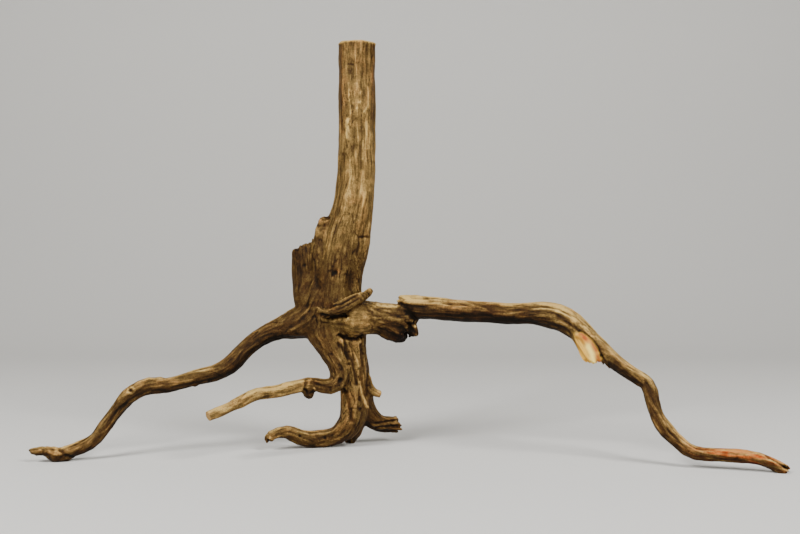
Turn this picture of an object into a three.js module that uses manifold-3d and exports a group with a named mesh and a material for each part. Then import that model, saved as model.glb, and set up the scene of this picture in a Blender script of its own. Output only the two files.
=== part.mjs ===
// A dry tree root, weathered to bare wood and lying as it was dug up. A sawn stem stands on a crotch.
// Two long side roots arch from the crotch down to the floor, one on each hand, and a short root goes
// straight down between them and splits into a heel, a hooked toe, a frayed stub and a sawn side root.
// It grew in one piece, so it is one solid. Millimetres, +Z up, +X to the right hand and +Y to the back.
// The origin is on the floor, where the bend of the middle root stands on it.

import * as THREE from "three";
import { mergeVertices } from "three/addons/utils/BufferGeometryUtils.js";
import Module from "manifold-3d";

const wasm = await Module();
wasm.setup();

// Driving dimensions. Each route below is drawn for a stem of this height and these girths.
const STEM_TOP = 446; // height of the sawn end above the floor
const FLOOR = 0; // everything below this level is worn flat
const FLOOR_SLAB = 1000; // side of the block that cuts the feet flat
const RING_STEP = 8.5; // distance between two cross-sections of a root
const FACET = 5.4; // width of a facet round a root
const SHORTEST_EDGE = 0.8; // on the finished surface
const WELD = 1e-4; // corners nearer than this are one corner
const LEAST_TURN = 0.3; // cosine of the most that a face may turn when an edge is drawn together
const CORNERS_ROUND_EDGE = 4; // two ends and the two corners that both reach, on a clean surface
const FEWEST_SIDES = 10;
const MOST_SIDES = 24;
const DOME_ANGLES = [14, 38, 64]; // degrees from the pole at which a rounded end has a ring
const BACKWARD = new THREE.Vector3(0, 1, 0);

// Every root has shallow flutes that run along the grain and turn slowly round it.
const FLUTE_DEPTH = 0.03; // of the radius
const FLUTE_PITCH = 1800; // length in which the grain turns once round the root

// A route is a list of [x, y, z, radius], from where the root starts to where it ends. An end is either
// "flat", where it was sawn or snapped off, or "round", where it tapers out or is buried in the wood.
const ROOTS = {
  stem: {
    start: "flat",
    end: "round",
    flutes: 5,
    route: [
      [44.6, 13, STEM_TOP, 20.7],
      [44.5, 12.8, 434, 20.4],
      [44.3, 11.5, 412, 20.1],
      [44.8, 8, 381, 20.5],
      [44.7, 4.5, 340, 20.3],
      [44, 2, 300, 20.9],
      [42.6, 1, 281, 21.9],
      [39.3, 0, 258.5, 23.6],
      [34.5, 0, 236, 26],
      [30, 0, 214, 26.8],
      [25.5, 0, 192, 26.6],
      [23.5, 0, 173, 27],
      [23, 0, 155, 29],
      [24, 0, 138, 28],
      [28, 0, 122, 22],
    ],
  },
  // The overgrown stump of a twig on the left of the stem, and the ridge that runs down from it.
  twig_stump: {
    start: "round",
    end: "round",
    flutes: 3,
    route: [
      [9.5, -3, 253.5, 7.4],
      [9.5, -3, 245, 9],
      [8.5, -4, 230, 10.4],
      [6.5, -4, 217, 12],
      [7, -5, 194, 12],
      [7, -5, 174, 14],
      [8, -5, 155, 18],
      [14, -4, 138, 18],
    ],
  },
  // A rib of wood whose top broke off, with a furrow between it and the stem.
  rib: {
    start: "flat",
    end: "round",
    flutes: 3,
    route: [
      [-15, 5, 221, 12.2],
      [-13, 4, 210, 13.6],
      [-13, 4, 197, 14.2],
      [-12, 3, 179, 13.9],
      [-10, 2, 164, 14.6],
      [-4, 0, 148, 17],
    ],
  },
  left_arm: {
    start: "round",
    end: "flat",
    flutes: 4,
    route: [
      [16, 0, 144, 23],
      [-4, -1, 140, 20.5],
      [-24, -2, 135.2, 16],
      [-41.5, -4, 130, 11.4],
      [-59, -8, 122.4, 10.2],
      [-75, -13, 110, 9.3],
      [-89, -19, 94.6, 10],
      [-103.5, -24, 86.5, 8.8],
      [-120, -29, 82.5, 8.3],
      [-138, -35, 77, 8.3],
      [-155, -41, 73, 8.1],
      [-171, -46, 73.5, 9],
      [-185, -51, 68, 8.5],
      [-197, -56, 57.5, 7.8],
      [-207, -61, 44.5, 6.9],
      [-215, -66, 30.5, 7],
      [-223, -71, 19.5, 6.8],
      [-233.5, -75, 13.5, 6.8],
      [-243.5, -79, 9.9, 6.8],
      [-253, -82, 5.8, 8],
      [-262, -84, 9.5, 6.2],
      [-271, -86, 12.2, 4],
      [-281, -88, 11, 2.1],
    ],
  },
  // The right side root starts thin behind a lip, where a thicker root has grown over it.
  right_neck: {
    start: "round",
    end: "round",
    flutes: 4,
    route: [
      [31, -2, 142, 24],
      [49, -4, 143.5, 19],
      [66, -7, 144, 15.8],
      [82, -10, 142.5, 16.2],
      [96, -13, 142, 15.2],
      [112, -17, 147, 11],
    ],
  },
  right_arm: {
    start: "flat",
    end: "flat",
    flutes: 4,
    route: [
      [92, -14, 157, 10.6],
      [106, -17, 155, 12.7],
      [127, -22, 153.8, 12.6],
      [152.5, -29, 151.5, 11.9],
      [177.5, -36, 150.6, 11.3],
      [204.5, -44, 148.8, 11.2],
      [229, -51, 149.3, 11.4],
      [247, -57, 147.5, 13.2],
      [262, -62, 143.6, 13.5],
      [275, -67, 134.4, 12],
      [288.5, -72, 122.4, 10.2],
      [304, -77, 109.5, 9],
      [318.5, -82, 96.4, 7.8],
      [330.5, -86, 87, 7.3],
      [339.5, -89, 80.6, 7.3],
      [342.8, -92, 72, 7.6],
      [344.5, -95, 61.5, 6.9],
      [349.5, -99, 47.3, 6.9],
      [359, -103, 34.3, 7.5],
      [369.5, -108, 24.8, 6.8],
      [379.6, -113, 17.3, 6.9],
      [393, -118, 15.2, 6.5],
      [411, -124, 15.1, 6.3],
      [430, -130, 14.5, 6.4],
      [442.5, -134, 12.8, 6],
      [453.5, -137, 7.6, 6],
      [463.5, -139, 3.2, 4.8],
    ],
  },
  // A rotten knot hangs under the lip, with a smaller one beside it.
  knot: {
    start: "round",
    end: "round",
    flutes: 3,
    route: [
      [70, -9, 143, 12],
      [81, -11, 134, 12.5],
      [91, -12, 128, 12.4],
      [102, -13, 127, 10.5],
    ],
  },
  small_knot: {
    start: "round",
    end: "flat",
    flutes: 3,
    route: [
      [99, -17, 142, 8],
      [105.5, -18, 131, 7],
      [107.5, -19, 122.5, 5.2],
    ],
  },
  // The stub of a side root that was torn off the right arm.
  torn_stub: {
    start: "round",
    end: "flat",
    flutes: 3,
    route: [
      [272, -70, 137, 9],
      [282.5, -75, 119, 9.4],
      [289, -79, 107, 9],
      [292.5, -81, 100.5, 8],
    ],
  },
  // The blunt end of the right side root laps round the front of the crotch, with a crease under it.
  knee: {
    start: "round",
    end: "round",
    flutes: 3,
    route: [
      [78, -8, 143, 9],
      [59, -13, 143, 15],
      [41, -17, 142, 17],
      [26, -17, 142, 14],
    ],
  },
  // A dead root that was squeezed flat across the front of the crotch and split.
  squeezed_root: {
    start: "round",
    end: "flat",
    flutes: 3,
    route: [
      [7, -30, 146, 4],
      [20, -33, 150, 5.4],
      [34, -32, 155, 6],
      [47, -25, 162, 5.4],
      [56, -15, 168, 4.4],
      [61, -9, 173, 3.4],
    ],
  },
  // The root in the middle goes down, bends to the left and ends in the hooked toe.
  toe_root: {
    start: "round",
    end: "flat",
    flutes: 5,
    route: [
      [31, 0, 155, 20],
      [36, 0, 128, 18.5],
      [40, 0, 107, 15.5],
      [41, 0, 85, 14.6],
      [41.5, 0, 65, 14.8],
      [42, 1, 47, 15],
      [41, 2, 33, 14.4],
      [33.5, 2, 20.5, 13],
      [22, 2, 13.2, 10.9],
      [12, 1, 11.2, 10],
      [-3, -2, 9, 9.8],
      [-18, -8, 13.2, 8.5],
      [-30, -14, 18.8, 7.2],
      [-40.5, -19, 18.6, 5.8],
      [-47.5, -23, 14, 5.9],
      [-50, -25, 8.8, 4.2],
    ],
  },
  // The wood between the tendons of the lower stem.
  web: {
    start: "round",
    end: "round",
    flutes: 3,
    route: [
      [18, -3, 146, 19],
      [23, -5, 122, 17],
      [29, -6, 104, 14.5],
      [34, -6, 86, 11],
      [37, -3, 66, 10],
    ],
  },
  heel: {
    start: "round",
    end: "round",
    flutes: 3,
    route: [
      [41, 2, 38, 13.5],
      [41, 16, 22, 12],
      [40.5, 28, 8, 9.5],
      [40, 36, -4, 7.4],
    ],
  },
  frayed_root: {
    start: "round",
    end: "flat",
    flutes: 4,
    route: [
      [40, 2, 136, 15],
      [43.5, 5, 110, 11.6],
      [47, 8, 90, 10.8],
      [49.5, 9, 72, 10.8],
      [52, 13, 47, 11.4],
      [56, 17, 35, 11.4],
      [64, 22, 26, 10.4],
      [74, 27, 21.6, 9.2],
      [84.5, 33, 20.6, 8.6],
      [92, 37, 20.2, 7.9],
    ],
  },
  // The stump of a rootlet on the frayed root.
  rootlet_stump: {
    start: "round",
    end: "flat",
    flutes: 3,
    route: [
      [51, 7, 82, 8],
      [58.5, 6, 65, 6],
      [65.5, 5, 58, 4.4],
      [71, 5, 57.2, 3.8],
    ],
  },
  sawn_root: {
    start: "round",
    end: "flat",
    flutes: 4,
    route: [
      [10, 2, 152, 13],
      [6, -3, 139, 16.8],
      [7, -6, 126.5, 16.6],
      [13.5, -8, 116, 15.6],
      [20.5, -9, 105, 14.6],
      [26.5, -11, 93.5, 13.5],
      [28, -13, 81, 12],
      [24, -16, 72, 10.2],
      [15, -20, 69.2, 8.4],
      [4.5, -26, 71.5, 7.6],
      [-5, -32, 73.5, 7.4],
      [-14, -38, 72, 6.9],
      [-25.5, -46, 70.5, 7],
      [-38, -54, 68, 6.4],
      [-51, -62, 68.3, 6.3],
      [-62, -70, 65.5, 6],
      [-73.5, -77, 59.3, 5.8],
      [-86.3, -86, 53.8, 5.3],
      [-100.3, -96, 48.5, 5.2],
    ],
  },
  // A broken knot under the sawn root.
  sawn_root_knot: {
    start: "round",
    end: "round",
    flutes: 3,
    route: [
      [-4, -31, 74, 6.5],
      [-5.5, -33, 65.5, 6.8],
      [-6, -34, 57.5, 5.6],
    ],
  },
};

// Where the rings of a root lie: the length along it, and what its radius is multiplied by there.
function ringsOf(length, firstRadius, lastRadius, { start, end }) {
  const dome = (radius) =>
    DOME_ANGLES.map((degrees) => THREE.MathUtils.degToRad(degrees)).map((angle) => ({
      along: radius * (1 - Math.cos(angle)),
      swell: Math.sin(angle),
    }));
  const head = start === "round" ? dome(firstRadius) : [];
  const tail = end === "round" ? dome(lastRadius) : [];
  const from = start === "round" ? firstRadius : 0;
  const to = end === "round" ? length - lastRadius : length;
  const steps = Math.max(1, Math.round((to - from) / RING_STEP));
  const body = Array.from({ length: steps + 1 }, (_, i) => ({
    along: from + ((to - from) * i) / steps,
    swell: 1,
  }));
  const mirrored = tail.reverse().map(({ along, swell }) => ({ along: length - along, swell }));
  return [...head, ...body, ...mirrored];
}

// A root is a unit cylinder that is bent along its route. Its rings keep one axis as near to +Y as they
// can, so a root doesn't twist at a bend, and only its flutes turn.
function rootSolid({ route, flutes, ...ends }, phase) {
  const path = new THREE.CatmullRomCurve3(
    route.map(([x, y, z]) => new THREE.Vector3(x, y, z)),
    false,
    "centripetal",
  );
  const girth = new THREE.SplineCurve(route.map(([, , , radius], i) => new THREE.Vector2(i, radius)));
  const length = path.getLength();
  const place = (along) => path.getUtoTmapping(THREE.MathUtils.clamp(along / length, 0, 1));
  const rings = ringsOf(length, route[0][3], route.at(-1)[3], ends);

  const widest = Math.max(...route.map(([, , , radius]) => radius));
  const sides = THREE.MathUtils.clamp(
    Math.round((2 * Math.PI * widest) / FACET),
    FEWEST_SIDES,
    MOST_SIDES,
  );
  const geometry = new THREE.CylinderGeometry(1, 1, 1, sides, rings.length - 1);
  geometry.deleteAttribute("normal");
  geometry.deleteAttribute("uv");

  const sections = rings.map(({ along, swell }) => {
    const radius = girth.getPoint(place(along)).y;
    const tangent = path
      .getPoint(place(along + radius / 2))
      .sub(path.getPoint(place(along - radius / 2)))
      .normalize();
    const side = new THREE.Vector3().crossVectors(tangent, BACKWARD).normalize();
    const depth = new THREE.Vector3().crossVectors(side, tangent);
    return { centre: path.getPoint(place(along)), side, depth, along, radius: radius * swell };
  });

  const vertices = geometry.attributes.position;
  const at = new THREE.Vector3();
  for (let i = 0; i < vertices.count; i++) {
    at.fromBufferAttribute(vertices, i);
    const section = sections[Math.round((at.y + 0.5) * (rings.length - 1))];
    const angle = Math.atan2(at.x, at.z);
    const fromAxis = Math.hypot(at.x, at.z);
    const turn = (2 * Math.PI * section.along) / FLUTE_PITCH;
    const turningLeft = Math.sin(flutes * (angle + turn) + phase);
    const turningRight = Math.sin((flutes + 2) * (angle - turn) + 2 * phase);
    const reach = section.radius * (1 + FLUTE_DEPTH * (turningLeft + turningRight));
    at.copy(section.centre)
      .addScaledVector(section.side, reach * Math.sin(angle) * fromAxis)
      .addScaledVector(section.depth, reach * Math.cos(angle) * fromAxis);
    vertices.setXYZ(i, at.x, at.y, at.z);
  }
  return solidOf(geometry);
}

function solidOf(geometry) {
  const merged = mergeVertices(geometry, WELD);
  return new wasm.Manifold(
    new wasm.Mesh({
      numProp: 3,
      vertProperties: new Float32Array(merged.attributes.position.array),
      triVerts: new Uint32Array(merged.index.array),
    }),
  );
}

// The block below the floor, which wears each foot to a small flat.
function floorBlock() {
  const block = new THREE.BoxGeometry(2 * FLOOR_SLAB, FLOOR_SLAB, FLOOR_SLAB);
  block.deleteAttribute("normal");
  block.deleteAttribute("uv");
  block.translate(0, 0, FLOOR - FLOOR_SLAB / 2);
  return solidOf(block);
}

// Where two roots cross, the join leaves slivers. Each edge shorter than SHORTEST_EDGE is drawn together
// to its middle, unless that would pinch the surface or turn a face over.
function withoutSlivers({ vertProperties, triVerts }) {
  const points = Array.from(
    { length: vertProperties.length / 3 },
    (_, i) => new THREE.Vector3().fromArray(vertProperties, 3 * i),
  );
  const faces = Array.from({ length: triVerts.length / 3 }, (_, i) => [...triVerts.slice(3 * i, 3 * i + 3)]);
  const around = points.map(() => new Set());
  faces.forEach((face, index) => face.forEach((corner) => around[corner].add(index)));

  const neighbours = (corner) => new Set([...around[corner]].flatMap((index) => faces[index]));
  const normalOf = (corners) => {
    const [a, b, c] = corners;
    return new THREE.Vector3().crossVectors(b.clone().sub(a), c.clone().sub(a)).normalize();
  };
  const turnsOver = (moved, kept, middle) =>
    [...around[moved]]
      .filter((index) => !faces[index].includes(kept))
      .some((index) => {
        const before = faces[index].map((corner) => points[corner]);
        const after = faces[index].map((corner) => (corner === moved ? middle : points[corner]));
        return normalOf(before).dot(normalOf(after)) < LEAST_TURN;
      });

  let drawn = true;
  while (drawn) {
    drawn = false;
    for (let moved = 0; moved < points.length; moved++) {
      const near = [...neighbours(moved)]
        .filter((other) => other !== moved)
        .map((other) => ({ other, gap: points[moved].distanceTo(points[other]) }))
        .filter(({ gap }) => gap < SHORTEST_EDGE)
        .sort((one, two) => one.gap - two.gap);
      for (const { other } of near) {
        const shared = [...neighbours(moved)].filter((corner) => neighbours(other).has(corner));
        const middle = points[moved].clone().lerp(points[other], 0.5);
        if (shared.length !== CORNERS_ROUND_EDGE) continue;
        if (turnsOver(moved, other, middle) || turnsOver(other, moved, middle)) continue;
        points[other].copy(middle);
        for (const index of [...around[moved]]) {
          if (faces[index].includes(other)) {
            faces[index].forEach((corner) => around[corner].delete(index));
            faces[index] = [];
          } else {
            faces[index] = faces[index].map((corner) => (corner === moved ? other : corner));
            around[other].add(index);
          }
        }
        around[moved].clear();
        drawn = true;
        break;
      }
    }
  }
  const left = faces.filter((face) => face.length === 3);
  const soup = left.flatMap((face) => face.flatMap((corner) => points[corner].toArray()));
  const geometry = new THREE.BufferGeometry();
  geometry.setAttribute("position", new THREE.Float32BufferAttribute(soup, 3));
  return mergeVertices(geometry, WELD);
}

const grown = Object.values(ROOTS)
  .map((root, index) => rootSolid(root, index))
  .reduce((whole, root) => whole.add(root));
const geometry = withoutSlivers(grown.subtract(floorBlock()).getMesh());
geometry.computeVertexNormals();

const weatheredWood = new THREE.MeshStandardMaterial({
  color: 0x86693c,
  roughness: 0.72,
  metalness: 0,
});
const dryRoot = new THREE.Mesh(geometry, weatheredWood);
dryRoot.name = "dry_root";

const group = new THREE.Group();
group.add(dryRoot);
export default group;
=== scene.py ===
# %% [markdown]
# # A dry root
# The real object is one piece of a dead bush: a sawn stem on a crotch, with roots that arch out from it
# down to the floor. It was dug up, washed and bleached, so it shows bare wood with a few flecks of bark.
# The CAD model has its size and its main limbs. This script gives it the skin of weathered wood.

import bpy
import numpy as np
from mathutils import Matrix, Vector


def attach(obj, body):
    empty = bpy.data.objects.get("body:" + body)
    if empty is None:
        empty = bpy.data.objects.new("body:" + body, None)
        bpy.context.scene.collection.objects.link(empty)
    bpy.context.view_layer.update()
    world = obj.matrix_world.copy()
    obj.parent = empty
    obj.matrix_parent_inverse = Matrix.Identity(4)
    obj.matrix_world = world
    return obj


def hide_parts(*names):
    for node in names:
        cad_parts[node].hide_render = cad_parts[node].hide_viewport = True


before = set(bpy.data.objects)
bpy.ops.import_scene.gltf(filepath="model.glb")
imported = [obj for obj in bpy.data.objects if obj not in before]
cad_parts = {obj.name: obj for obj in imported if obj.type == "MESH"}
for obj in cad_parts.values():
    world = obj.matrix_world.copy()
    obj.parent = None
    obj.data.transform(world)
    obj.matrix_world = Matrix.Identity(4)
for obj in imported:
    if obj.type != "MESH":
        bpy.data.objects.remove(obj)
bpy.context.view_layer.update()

MM = 0.001

# %% [markdown]
# ## The camera
# The root was photographed from straight in front, with the camera level and a little below the middle of
# its height. A 45 mm lens at 1.1 m gives the same perspective. The camera comes first, because some marks
# on the wood are placed by where they appear in the picture.

# %% Place the camera
PICTURE = (800, 534)
LENS = 45
SENSOR = 36
CAMERA_PLACE = np.array([0.0925, -1.1, 0.198])

bpy.ops.object.camera_add(location=CAMERA_PLACE, rotation=(np.pi / 2, 0, 0))
camera = bpy.context.object
camera.name = "camera"
camera.data.lens = LENS
camera.data.sensor_width = SENSOR
bpy.context.scene.camera = camera


def in_picture(places):
    """Where each place appears in the picture, in pixels from its top left corner."""
    focal = PICTURE[0] * LENS / SENSOR
    away = places - CAMERA_PLACE
    across = PICTURE[0] / 2 + focal * away[:, 0] / away[:, 1]
    down = PICTURE[1] / 2 - focal * away[:, 2] / away[:, 1]
    return np.column_stack([across, down])


print("the origin is seen at", in_picture(np.zeros((1, 3))).round(1).tolist())

# %% [markdown]
# ## The floor and the light
# A pale sheet lies under the root and curves up behind it, so the background has no edge. Two wide soft
# lamps stand high at the left and the right of the camera, and a weak one fills in from the front.

# %% Sweep the floor up into a backdrop
FLOOR_HALF_WIDTH = 4.0
FLOOR_FRONT = -2.5
BEND_START = 1.1
BEND_RADIUS = 0.9
WALL_TOP = 3.2
BEND_STEPS = 14

bpy.ops.mesh.primitive_plane_add(size=1)
floor = bpy.context.object
floor.name = "paper_floor"
floor.scale = (2 * FLOOR_HALF_WIDTH, BEND_START - FLOOR_FRONT, 1)
floor.location = (0, (BEND_START + FLOOR_FRONT) / 2, 0)
bpy.ops.object.transform_apply(location=True, rotation=False, scale=True)


def pick(piece):
    """Select one object alone and make it the active one."""
    bpy.ops.object.select_all(action="DESELECT")
    piece.select_set(True)
    bpy.context.view_layer.objects.active = piece


def mode(name):
    """Switch to edit mode or object mode."""
    bpy.ops.object.mode_set(mode=name)


mode("EDIT")
bpy.ops.mesh.select_mode(type="EDGE")
bpy.ops.mesh.select_all(action="DESELECT")
mode("OBJECT")
for edge in floor.data.edges:
    edge.select = all(floor.data.vertices[i].co.y > BEND_START - MM for i in edge.vertices)
for step in range(1, BEND_STEPS + 1):
    mode("EDIT")
    bpy.ops.mesh.extrude_region_move()
    mode("OBJECT")
    angle = np.pi / 2 * step / BEND_STEPS
    for vertex in [v for v in floor.data.vertices if v.select]:
        vertex.co.y = BEND_START + BEND_RADIUS * np.sin(angle)
        vertex.co.z = BEND_RADIUS * (1 - np.cos(angle))
mode("EDIT")
bpy.ops.mesh.extrude_region_move(TRANSFORM_OT_translate={"value": (0, 0, WALL_TOP - BEND_RADIUS)})
mode("OBJECT")
bpy.ops.object.shade_smooth()
print("the floor has", len(floor.data.polygons), "faces")

# %% Hang the soft lamps
LAMPS = {
    "left_softbox": {"place": (-1.3, -1.5, 1.75), "aim": (0.1, 0, 0.15), "size": 1.0, "watts": 62},
    "right_softbox": {"place": (1.5, -1.4, 1.7), "aim": (0.1, 0, 0.15), "size": 1.0, "watts": 54},
    "front_fill": {"place": (0.1, -2.6, 0.9), "aim": (0.1, 0, 0.2), "size": 1.6, "watts": 9},
}
for name, lamp in LAMPS.items():
    bpy.ops.object.light_add(type="AREA", location=lamp["place"])
    light = bpy.context.object
    light.name = name
    light.data.size = lamp["size"]
    light.data.energy = lamp["watts"]
    light.rotation_euler = (Vector(lamp["aim"]) - light.location).to_track_quat("-Z", "Y").to_euler()
print("lamps:", list(LAMPS))

# %% Colour the backdrop and the air
# The curve of sRGB colours is straight in the darkest tones and a power above them.
SRGB_KNEE = 0.04045
SRGB_SLOPE = 12.92
SRGB_OFFSET = 0.055
SRGB_POWER = 2.4
PAPER_ROUGHNESS = 0.9
AIR_STRENGTH = 0.12


def linear(colour):
    """An sRGB hex colour as the linear values that Blender's sockets take."""
    values = np.array([int(colour[i : i + 2], 16) / 255 for i in (1, 3, 5)])
    curved = ((values + SRGB_OFFSET) / (1 + SRGB_OFFSET)) ** SRGB_POWER
    return [*np.where(values <= SRGB_KNEE, values / SRGB_SLOPE, curved), 1]


def add_node(material, kind, settings=None, links=None):
    """Add a node, set its properties and sockets by name or number, and link its inputs."""
    node = material.node_tree.nodes.new(kind)
    for name, value in (settings or {}).items():
        if isinstance(name, str) and hasattr(node, name):
            setattr(node, name, value)
        else:
            node.inputs[name].default_value = value
    for name, source in (links or {}).items():
        material.node_tree.links.new(source, node.inputs[name])
    return node


def new_material(name):
    """An empty material with nodes."""
    material = bpy.data.materials.new(name)
    material.use_nodes = True
    material.node_tree.nodes.clear()
    return material


# Short names for the kinds of node that are used most.
MATH = "ShaderNodeMath"
MIX = "ShaderNodeMix"

paper = new_material("pale_backdrop_paper")
paper_shader = add_node(
    paper, "ShaderNodeBsdfPrincipled", {"Base Color": linear("#e8e6e1"), "Roughness": PAPER_ROUGHNESS}
)
add_node(paper, "ShaderNodeOutputMaterial", links={"Surface": paper_shader.outputs[0]})
floor.data.materials.append(paper)

world = bpy.data.worlds.new("studio_air")
world.use_nodes = True
air = world.node_tree.nodes["Background"]
air.inputs["Color"].default_value = linear("#dcd9d2")
air.inputs["Strength"].default_value = AIR_STRENGTH
bpy.context.scene.world = world
print("made", paper.name, "and", world.name)

# %% [markdown]
# ## The lines that the wood grows along
# Wood fibre runs along each root and sweeps round the crotch from the stem into the roots. Every groove,
# streak and bark fleck follows it. So the script has one line for each way the fibre runs, with the girth
# of the root there and how the wood looks there: tone is 0 for the darkest bark and 1 for bleached wood,
# and rust is how reddish it is. They are the lines that the limbs of the CAD model follow.

# %% Lay the grain lines
# Each point is x, y, z and radius in mm, then tone and rust.
GRAIN_LINES = {
    "stem": [
        (44.6, 13, 446, 20.7, 0.6, 0.1),
        (44.8, 8, 381, 20.5, 0.6, 0.05),
        (44.7, 4.5, 340, 20.3, 0.62, 0),
        (44, 2, 300, 20.9, 0.62, 0),
        (39.5, 0, 258.5, 23.6, 0.62, 0),
        (34.5, 0, 236, 26, 0.58, 0),
        (30, 0, 214, 26.8, 0.52, 0),
        (25.5, 0, 192, 26.6, 0.43, 0.02),
        (23, 0, 173, 27, 0.45, 0),
        (24, 0, 145, 28, 0.48, 0),
        (30, -3, 115, 21, 0.54, 0.05),
        (37, -2, 92, 18, 0.59, 0.08),
        (40, 0, 70, 16.5, 0.58, 0.1),
        (42, 1, 47, 16, 0.53, 0.16),
        (39, 2, 29, 14.2, 0.48, 0.18),
        (22, 2, 13.2, 10.9, 0.46, 0.15),
        (-3, -2, 9, 9.8, 0.47, 0.12),
        (-30, -14, 18.8, 7.2, 0.49, 0.1),
        (-50, -25, 8.8, 4.2, 0.47, 0.1),
    ],
    "twig_ridge": [
        (9.5, -3, 253.5, 7.4, 0.45, 0.1),
        (8.5, -4, 230, 10.4, 0.5, 0),
        (6.5, -4, 205, 12, 0.52, 0),
        (7, -5, 170, 14, 0.5, 0),
    ],
    "rib": [
        (-15, 5, 222, 12.2, 0.27, 0.1),
        (-13, 4, 197, 14.2, 0.37, 0),
        (-12, 3, 179, 13.9, 0.39, 0),
        (-16, 1, 158, 14, 0.41, 0),
        (-30, -2, 139, 14, 0.41, 0),
    ],
    "left_arm": [
        (4, -4, 176, 18, 0.37, 0),
        (-6, -2, 152, 20, 0.36, 0),
        (-24, -2, 135.2, 16, 0.33, 0.05),
        (-41.5, -4, 130, 11.4, 0.28, 0.08),
        (-59, -8, 122.4, 10.2, 0.24, 0.08),
        (-75, -13, 110, 9.3, 0.24, 0.06),
        (-89, -19, 94.6, 10, 0.24, 0.05),
        (-103.5, -24, 86.5, 8.8, 0.31, 0.04),
        (-138, -35, 77, 8.3, 0.38, 0.04),
        (-171, -46, 73.5, 9, 0.38, 0.06),
        (-197, -56, 57.5, 7.8, 0.38, 0.08),
        (-215, -66, 30.5, 7, 0.37, 0.12),
        (-233.5, -75, 13.5, 6.8, 0.37, 0.12),
        (-253, -82, 5.8, 8, 0.38, 0.1),
        (-271, -86, 12.2, 4, 0.4, 0.12),
        (-281, -88, 11, 2.1, 0.4, 0.2),
    ],
    "right_neck": [
        (42, -8, 196, 20, 0.48, 0),
        (50, -10, 168, 20, 0.44, 0),
        (66, -9, 148, 16, 0.47, 0),
        (82, -10, 142.5, 16.2, 0.47, 0),
        (98, -13, 141, 14, 0.44, 0),
    ],
    "right_arm": [
        (92, -14, 157, 10.6, 0.32, 0),
        (106, -17, 155, 12.7, 0.32, 0),
        (127, -22, 153.8, 12.6, 0.28, 0.14),
        (152.5, -29, 151.5, 11.9, 0.25, 0.16),
        (177.5, -36, 150.6, 11.3, 0.18, 0.16),
        (204.5, -44, 148.8, 11.2, 0.19, 0.16),
        (229, -51, 149.3, 11.4, 0.25, 0.08),
        (247, -57, 147.5, 13.2, 0.38, 0),
        (262, -62, 143.6, 13.5, 0.44, 0),
        (275, -67, 134.4, 12, 0.46, 0.05),
        (288.5, -72, 122.4, 10.2, 0.4, 0.1),
        (304, -77, 109.5, 9, 0.36, 0.08),
        (318.5, -82, 96.2, 8.5, 0.32, 0.05),
        (339.5, -89, 80.8, 7.5, 0.29, 0.05),
        (344.5, -95, 61.5, 6.9, 0.29, 0.05),
        (359, -103, 34.3, 7.5, 0.34, 0.1),
        (379.6, -113, 17.3, 6.9, 0.42, 0.25),
        (393, -118, 15.2, 6.5, 0.43, 0.42),
        (430, -130, 14.5, 6.4, 0.47, 0.48),
        (453.5, -137, 7.6, 6, 0.48, 0.45),
        (463.5, -139, 3.2, 4.8, 0.48, 0.42),
    ],
    "knee": [
        (84, -10, 143, 12, 0.64, 0),
        (59, -13, 143, 15, 0.68, 0),
        (41, -17, 142, 17, 0.68, 0),
        (24, -17, 142, 14, 0.61, 0),
    ],
    "squeezed_root": [
        (4, -28, 145, 4, 0.41, 0.1),
        (20, -33, 150, 5.4, 0.39, 0.1),
        (34, -32, 155, 6, 0.39, 0.1),
        (47, -25, 162, 5.4, 0.39, 0.1),
        (61, -9, 173, 3.4, 0.46, 0.2),
    ],
    "knot": [
        (78, -11, 136, 12, 0.24, 0),
        (91, -12, 128, 12.4, 0.14, 0.1),
        (104, -15, 126, 10, 0.08, 0.1),
    ],
    "torn_stub": [
        (272, -70, 137, 9, 0.66, 0),
        (282.5, -75, 119, 9.4, 0.6, 0.1),
        (292.5, -81, 100.5, 8, 0.55, 0.1),
    ],
    "sawn_root": [
        (10, 2, 152, 13, 0.43, 0),
        (7, -6, 126.5, 16.6, 0.41, 0.05),
        (13.5, -8, 116, 15.6, 0.43, 0.05),
        (26.5, -11, 93.5, 13.5, 0.45, 0.08),
        (28, -13, 81, 12, 0.45, 0.08),
        (24, -16, 72, 10.2, 0.45, 0.08),
        (15, -20, 69.2, 8.4, 0.45, 0.12),
        (-3, -31, 73.2, 7.4, 0.42, 0.14),
        (-7, -34, 73.3, 7.2, 0.4, 0.16),
        (-11, -36.5, 72.6, 7, 0.66, 0.05),
        (-25.5, -46, 70.5, 7, 0.66, 0),
        (-51, -62, 68.3, 6.3, 0.64, 0.04),
        (-73.5, -77, 59.3, 5.8, 0.62, 0.04),
        (-100.3, -96, 48.5, 5.2, 0.66, 0),
    ],
    "frayed_root": [
        (42, 4, 125, 13, 0.45, 0.05),
        (47, 8, 90, 10.8, 0.45, 0.05),
        (52, 13, 47, 11.4, 0.39, 0.14),
        (64, 22, 26, 10.4, 0.37, 0.18),
        (84.5, 33, 20.6, 8.6, 0.39, 0.14),
        (94, 37, 20.2, 7.9, 0.41, 0.08),
    ],
    "rootlet_stump": [
        (51, 7, 82, 8, 0.52, 0),
        (58.5, 6, 65, 6, 0.56, 0),
        (72, 5, 57.2, 3.8, 0.62, 0.2),
    ],
    "heel": [
        (41, 8, 32, 13, 0.49, 0.16),
        (41, 20, 17, 11, 0.45, 0.16),
        (40, 36, -2, 8, 0.4, 0.12),
    ],
}
SAMPLE_STEP = 2 * MM
FEWEST_SAMPLES = 4
ROUNDING_PASSES = 12


def unit(vectors):
    """The vectors at length 1."""
    return vectors / np.linalg.norm(vectors, axis=-1, keepdims=True)


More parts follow.
